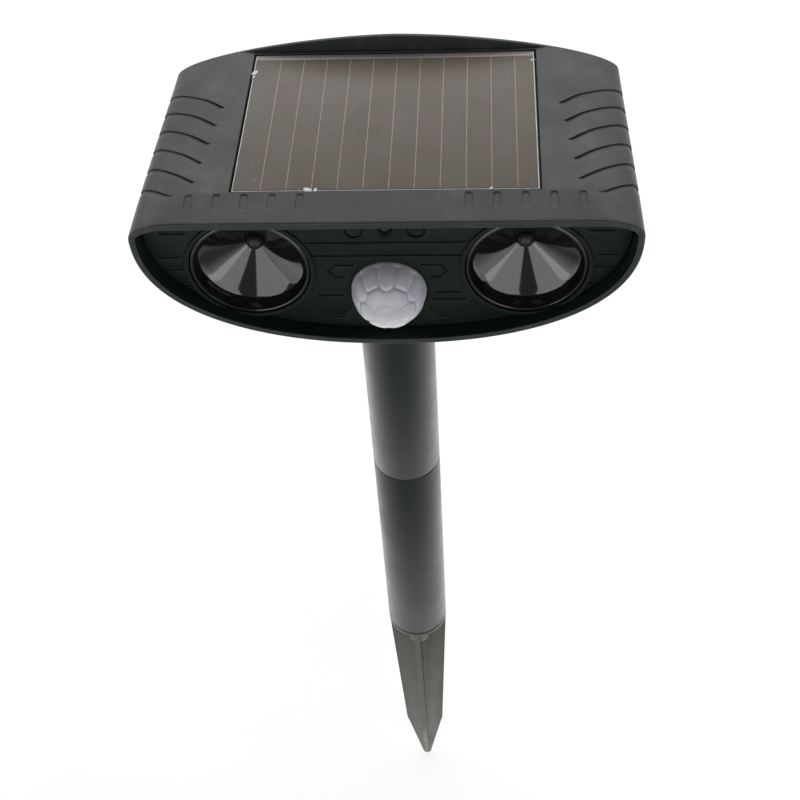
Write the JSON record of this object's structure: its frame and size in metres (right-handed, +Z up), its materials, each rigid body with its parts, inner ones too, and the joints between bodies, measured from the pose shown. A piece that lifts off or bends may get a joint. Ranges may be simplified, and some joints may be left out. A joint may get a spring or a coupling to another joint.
{
  "type": "ultrasonic pest repeller",
  "caption": "Solar ultrasonic pest repeller: oval green housing with speakers, motion lens and solar deck on a plug-together pole with a ground spike.",
  "frame": {"origin": "on the pole's axis at the underside of the spike's flange, where the spike meets the ground", "axes": "+Z up along the pole, -Y the way the speakers and the lens face, +X to the viewer's right when the front is seen"},
  "size_m": [0.15, 0.0916, 0.3873],
  "materials": {
    "shell": "moulded, satin",
    "panel": "moulded, satin",
    "pole": "moulded, semi-gloss",
    "horn": "polished black",
    "black": "moulded, matt",
    "rubber": "matt",
    "lens": "translucent white, satin",
    "solar_cell": "laminated brown cell with thin lines",
    "foam": "soft foam",
    "steel": "bright zinc",
    "circuit": "solder mask",
    "copper": "wound wire",
    "lamp": "clear tinted",
    "cell_wrap": "shrink sleeve",
    "lead": "insulation"
  },
  "bodies": {
    "spike": {"ground_spike": "pole"},
    "lower_tube": {"lower_tube": "pole"},
    "upper_tube": {"upper_tube": "pole"},
    "head": {"main_housing": "shell", "front_panel": "panel", "rear_cover": "panel", "pole_socket": "pole", "speaker_horn_left": "horn", "speaker_horn_right": "horn", "speaker_dome_left": "black", "speaker_dome_right": "black", "speaker_driver_left": "black", "speaker_driver_right": "black", "lens_clamp": "black", "capacitor": "black", "power_switch": "black", "frequency_control": "black", "sensitivity_control": "black", "motion_lens": "lens", "solar_panel": "solar_cell", "solar_gasket": "foam", "motion_sensor": "steel", "charge_socket": "steel", "battery_contact_left": "steel", "battery_contact_right": "steel", "board_screw_left": "steel", "board_screw_right": "steel", "socket_screw_left": "steel", "socket_screw_right": "steel", "front_screw_1": "steel", "front_screw_2": "steel", "front_screw_3": "steel", "front_screw_4": "steel", "rear_screw_1": "steel", "rear_screw_2": "steel", "rear_screw_3": "steel", "rear_screw_4": "steel", "control_board": "circuit", "motion_sensor_board": "circuit", "inductor": "copper", "status_lamp": "lamp", "battery_cell_1": "cell_wrap", "battery_cell_2": "cell_wrap", "battery_cell_3": "cell_wrap", "lead_solar": "lead", "lead_battery": "lead", "lead_motion_sensor": "lead", "lead_lamp": "lead", "lead_speaker_left": "lead", "lead_speaker_right": "lead"},
    "frequency_knob": {"frequency_knob": "black"},
    "sensitivity_knob": {"sensitivity_knob": "black"},
    "power_slider": {"power_slider": "black"},
    "charge_cap": {"charge_cap": "rubber"},
    "battery_door": {"battery_door": "panel"}
  },
  "joints": [
    {"name": "lower_tube_pull", "type": "slide", "parent": "spike", "child": "lower_tube", "axis": [0, 0, 1], "range_m": [0, 0.022]},
    {"name": "upper_tube_pull", "type": "slide", "parent": "lower_tube", "child": "upper_tube", "axis": [0, 0, 1], "range_m": [0, 0.022]},
    {"name": "head_swivel", "type": "hinge", "parent": "upper_tube", "child": "head", "pos_m": [0, 0, 0.2], "axis": [0, 0, 1], "range_deg": [-180, 180]},
    {"name": "frequency_turn", "type": "hinge", "parent": "head", "child": "frequency_knob", "pos_m": [0.042, 0.0555, 0.2377], "axis": [0, 1, 0], "range_deg": [-150, 150]},
    {"name": "sensitivity_turn", "type": "hinge", "parent": "head", "child": "sensitivity_knob", "pos_m": [0.042, 0.0555, 0.2197], "axis": [0, 1, 0], "range_deg": [-150, 150]},
    {"name": "power_slide", "type": "slide", "parent": "head", "child": "power_slider", "axis": [1, 0, 0], "range_m": [0, 0.004]},
    {"name": "charge_cap_pull", "type": "slide", "parent": "head", "child": "charge_cap", "axis": [0, 1, 0], "range_m": [0, 0.012]},
    {"name": "battery_door_open", "type": "hinge", "parent": "head", "child": "battery_door", "pos_m": [0, 0.0553, 0.20792], "axis": [-1, 0, 0], "range_deg": [0, 95]}
  ]
}
